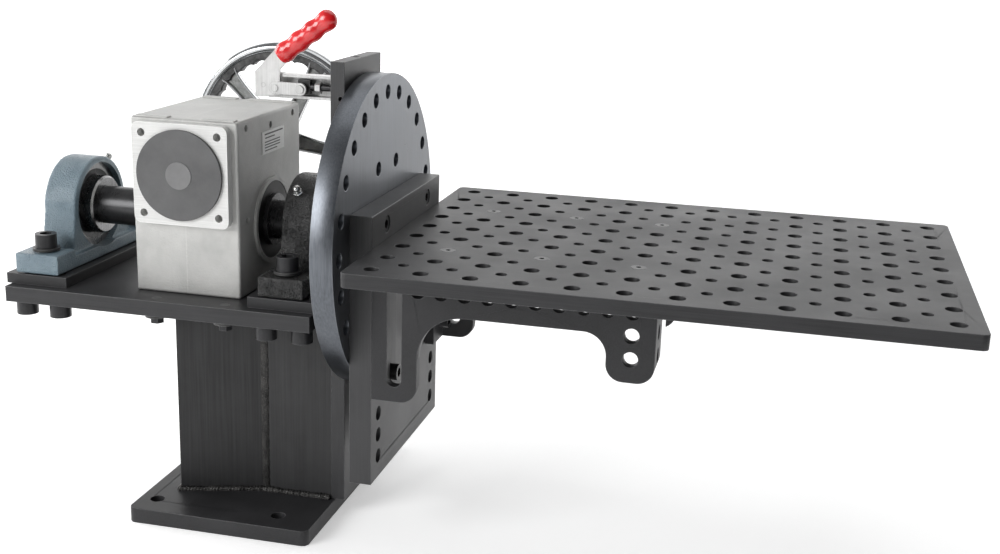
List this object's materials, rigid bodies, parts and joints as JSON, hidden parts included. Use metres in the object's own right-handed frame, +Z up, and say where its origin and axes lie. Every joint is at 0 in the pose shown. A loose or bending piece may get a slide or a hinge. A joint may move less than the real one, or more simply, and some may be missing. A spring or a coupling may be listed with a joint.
{
  "type": "rotary table",
  "caption": "Welding and fixturing rotary table: a handwheel turns a worm gearbox, whose shaft in two pillow blocks carries an index disc and a perforated table on two arms.",
  "frame": {"origin": "centre of the base plate's underside", "axes": "+X along the shaft towards the table, +Y towards the handwheel, +Z up"},
  "size_m": [1.0405, 0.45, 0.5731],
  "materials": {
    "black_plate": "black-oxide steel plate, brushed, bright at its edges",
    "column_steel": "black-oxide steel plate",
    "weld": "rough fillet weld, blackened",
    "blue_cast_iron": "rough cast iron, blue-grey paint",
    "black_cast_iron": "rough cast iron, black",
    "bearing_steel": "dark bearing steel",
    "black_screws": "black-oxide screws",
    "black_washers": "black-oxide washers",
    "nipple_steel": "zinc-plated steel",
    "shaft_steel": "ground steel shaft, dark",
    "gear_bronze": "bronze worm wheel",
    "cast_aluminium": "sand-cast aluminium, pale grey",
    "dark_cap": "dark grey satin cap",
    "light_plate": "plain light plate",
    "seal_rubber": "black seal rubber",
    "wheel_chrome": "polished chrome",
    "zinc_plate": "zinc-plated pressed steel",
    "clamp_black": "black-oxide steel",
    "red_vinyl": "dipped red vinyl"
  },
  "bodies": {
    "stand": {"base_plate": "black_plate", "bearing_balls": "bearing_steel", "bearing_outer_rings": "bearing_steel", "cap_disc": "light_plate", "clamp_frame": "zinc_plate", "clamp_pivot": "zinc_plate", "column_front_plate": "column_steel", "column_left_plate": "column_steel", "column_rear_plate": "column_steel", "foot_bolts": "black_screws", "foot_washers": "black_washers", "gearbox_foot_screws": "black_screws", "gearbox_half_left": "cast_aluminium", "gearbox_half_right": "cast_aluminium", "gearbox_seals": "seal_rubber", "grease_nipples": "nipple_steel", "housing_screws": "black_screws", "index_plate": "black_plate", "input_cap": "dark_cap", "input_flange": "cast_aluminium", "oil_plug": "black_screws", "output_bearings": "bearing_steel", "pillow_housing_left": "blue_cast_iron", "pillow_housing_right": "black_cast_iron", "platform_plate": "black_plate", "platform_screws": "black_screws", "platform_washers": "black_washers", "rating_plate": "light_plate", "riser_left": "black_plate", "riser_right": "black_plate", "riser_screws": "black_screws", "riser_washers": "black_washers", "splay_front_plate": "column_steel", "splay_rear_plate": "column_steel", "weld_beads": "weld", "worm_bearings": "bearing_steel"},
    "faceplate": {"main_shaft": "shaft_steel", "shaft_key": "shaft_steel", "hollow_sleeve": "shaft_steel", "worm_wheel": "gear_bronze", "bearing_inner_rings": "bearing_steel", "bearing_set_screws": "black_screws", "index_disc": "black_plate", "carrier_plate": "black_plate", "disc_screws": "black_screws", "arm_near": "black_plate", "arm_far": "black_plate", "arm_screws": "black_screws", "table_top": "black_plate", "table_screws": "black_screws"},
    "handwheel_drive": {"worm_shaft": "shaft_steel", "handwheel": "wheel_chrome", "handwheel_nut": "wheel_chrome"},
    "clamp_lever": {"clamp_handle": "zinc_plate", "clamp_grip": "red_vinyl", "clamp_rivet": "zinc_plate"},
    "clamp_link": {"clamp_link": "zinc_plate"},
    "clamp_plunger": {"clamp_rod": "clamp_black", "clamp_nut": "zinc_plate"},
    "index_pin": {"index_pin": "clamp_black"}
  },
  "joints": [
    {"name": "faceplate_spin", "type": "hinge", "parent": "stand", "child": "faceplate", "pos_m": [0, 0, 0.33], "axis": [1, 0, 0], "continuous": true},
    {"name": "handwheel_spin", "type": "hinge", "parent": "stand", "child": "handwheel_drive", "pos_m": [-0.0565, 0, 0.3935], "axis": [0, 1, 0], "continuous": true},
    {"name": "clamp_swing", "type": "hinge", "parent": "stand", "child": "clamp_lever", "pos_m": [0.003, 0, 0.4852], "axis": [0, -1, 0], "range_deg": [0, 115]},
    {"name": "clamp_link_swing", "type": "hinge", "parent": "clamp_lever", "child": "clamp_link", "pos_m": [0.0179, 0, 0.4828], "axis": [0, -1, 0], "range_deg": [-146, 0]},
    {"name": "plunger_slide", "type": "slide", "parent": "stand", "child": "clamp_plunger", "axis": [1, 0, 0], "range_m": [-0.0232, 0]},
    {"name": "index_pin_slide", "type": "slide", "parent": "clamp_plunger", "child": "index_pin", "axis": [1, 0, 0], "range_m": [0, 0.0235]}
  ],
  "couplings": [
    {"joint": "handwheel_spin", "follows": "faceplate_spin", "ratio": 38},
    {"joint": "clamp_link_swing", "follows": "clamp_swing", "ratio": -1.256},
    {"joint": "plunger_slide", "follows": "clamp_swing", "m_per_rad": -0.01141}
  ]
}
